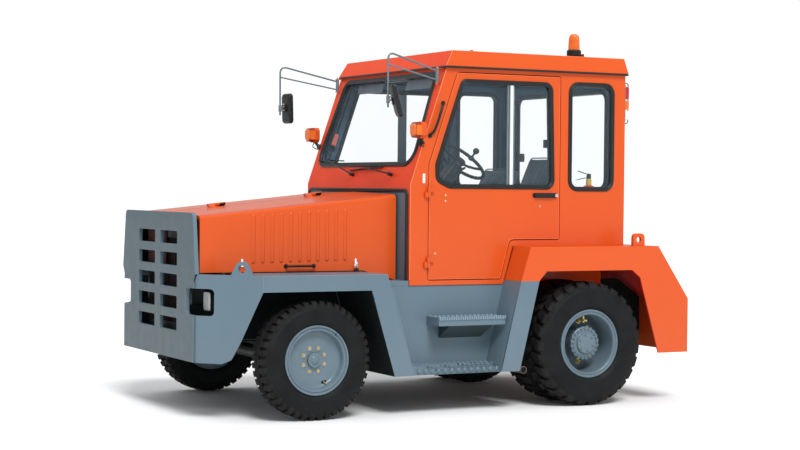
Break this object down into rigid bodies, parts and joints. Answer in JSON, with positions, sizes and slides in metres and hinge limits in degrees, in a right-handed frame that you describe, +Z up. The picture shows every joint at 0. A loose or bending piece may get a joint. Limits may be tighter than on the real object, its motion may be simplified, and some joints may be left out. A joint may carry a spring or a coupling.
{
  "type": "airport baggage tug",
  "caption": "Airport baggage tug with an enclosed cab, a two-piece hood that opens from its centre ridge, a thick slotted nose plate, twin rear tyres and a rear tow coupling with a lifting pin.",
  "frame": {"origin": "on the ground, midway along the vehicle from nose plate to tow coupling, on its centre line", "axes": "+X forward towards the nose plate, +Y to the driver's left, +Z up"},
  "size_m": [3.66, 1.972, 2.549],
  "materials": {
    "orange_paint": "gloss",
    "grey_paint": "satin",
    "dark_steel": "satin",
    "tyre": "matte",
    "glass": "clear",
    "black_plastic": "matte",
    "seat_vinyl": "matte",
    "lamp_lens": "gloss",
    "amber_lens": "gloss",
    "red_lens": "gloss",
    "red_paint": "gloss",
    "bare_steel": "worn"
  },
  "bodies": {
    "vehicle": {"cab_shell": "orange_paint", "cab_roof": "orange_paint", "rear_body": "orange_paint", "chassis_frame": "grey_paint", "nose_plate": "grey_paint", "front_fender_left": "grey_paint", "front_fender_right": "grey_paint", "step_box_left": "grey_paint", "step_box_right": "grey_paint", "hood_ridge_bar": "grey_paint", "engine_block": "dark_steel", "radiator": "dark_steel", "front_axle": "dark_steel", "rear_axle": "dark_steel", "tow_coupling": "dark_steel", "exhaust": "dark_steel", "windscreen": "glass", "rear_glass": "glass", "side_glass_left": "glass", "side_glass_right": "glass", "dashboard": "black_plastic", "mirror_left": "black_plastic", "mirror_right": "black_plastic", "driver_seat": "seat_vinyl", "passenger_seat": "seat_vinyl", "headlamp_left": "lamp_lens", "headlamp_right": "lamp_lens", "turn_lamp_left": "amber_lens", "turn_lamp_right": "amber_lens", "beacon": "amber_lens", "rear_lamp_left": "red_lens", "rear_lamp_right": "red_lens", "fire_extinguisher": "red_paint"},
    "front_knuckle_left": {"knuckle_left": "dark_steel"},
    "front_knuckle_right": {"knuckle_right": "dark_steel"},
    "front_wheel_left": {"front_tyre_left": "tyre", "front_rim_left": "grey_paint"},
    "front_wheel_right": {"front_tyre_right": "tyre", "front_rim_right": "grey_paint"},
    "rear_wheels_left": {"rear_rim_left": "grey_paint", "rear_tyre_outer_left": "tyre", "rear_tyre_inner_left": "tyre"},
    "rear_wheels_right": {"rear_rim_right": "grey_paint", "rear_tyre_outer_right": "tyre", "rear_tyre_inner_right": "tyre"},
    "door_left": {"door_left": "orange_paint", "door_glass_left": "glass"},
    "door_right": {"door_right": "orange_paint", "door_glass_right": "glass"},
    "hood_left": {"hood_left": "orange_paint"},
    "hood_right": {"hood_right": "orange_paint"},
    "steering_wheel": {"steering_wheel": "black_plastic"},
    "hitch_pin": {"hitch_pin": "bare_steel"}
  },
  "joints": [
    {"name": "steer_left", "type": "hinge", "parent": "vehicle", "child": "front_knuckle_left", "pos_m": [1.13, 0.7, 0.3735], "axis": [0, 0, 1], "range_deg": [-30, 30]},
    {"name": "front_spin_left", "type": "hinge", "parent": "front_knuckle_left", "child": "front_wheel_left", "pos_m": [1.13, 0.856, 0.3735], "axis": [0, 1, 0], "continuous": true},
    {"name": "rear_spin_left", "type": "hinge", "parent": "vehicle", "child": "rear_wheels_left", "pos_m": [-0.88, 0.7395, 0.415], "axis": [0, 1, 0], "continuous": true},
    {"name": "door_left_swing", "type": "hinge", "parent": "vehicle", "child": "door_left", "pos_m": [0.262, 0.786, 0.965], "axis": [0, 0, -1], "range_deg": [0, 75]},
    {"name": "hood_left_lift", "type": "hinge", "parent": "vehicle", "child": "hood_left", "pos_m": [1.425, 0, 1.32534], "axis": [0.9947, 0, -0.1032], "range_deg": [0, 50]},
    {"name": "steer_right", "type": "hinge", "parent": "vehicle", "child": "front_knuckle_right", "pos_m": [1.13, -0.7, 0.3735], "axis": [0, 0, 1], "range_deg": [-30, 30]},
    {"name": "front_spin_right", "type": "hinge", "parent": "front_knuckle_right", "child": "front_wheel_right", "pos_m": [1.13, -0.856, 0.3735], "axis": [0, 1, 0], "continuous": true},
    {"name": "rear_spin_right", "type": "hinge", "parent": "vehicle", "child": "rear_wheels_right", "pos_m": [-0.88, -0.7395, 0.415], "axis": [0, 1, 0], "continuous": true},
    {"name": "door_right_swing", "type": "hinge", "parent": "vehicle", "child": "door_right", "pos_m": [0.262, -0.786, 0.965], "axis": [0, 0, 1], "range_deg": [0, 75]},
    {"name": "hood_right_lift", "type": "hinge", "parent": "vehicle", "child": "hood_right", "pos_m": [1.425, 0, 1.32534], "axis": [-0.9947, 0, 0.1032], "range_deg": [0, 50]},
    {"name": "steering_wheel_turn", "type": "hinge", "parent": "vehicle", "child": "steering_wheel", "pos_m": [-0.21315, 0.36, 1.63381], "axis": [-0.6157, 0, 0.788], "range_deg": [-540, 540]},
    {"name": "hitch_pin_lift", "type": "slide", "parent": "vehicle", "child": "hitch_pin", "axis": [0, 0, 1], "range_m": [0, 0.3]}
  ],
  "couplings": [
    {"joint": "steer_right", "follows": "steer_left", "ratio": 1},
    {"joint": "steering_wheel_turn", "follows": "steer_left", "ratio": 18}
  ]
}
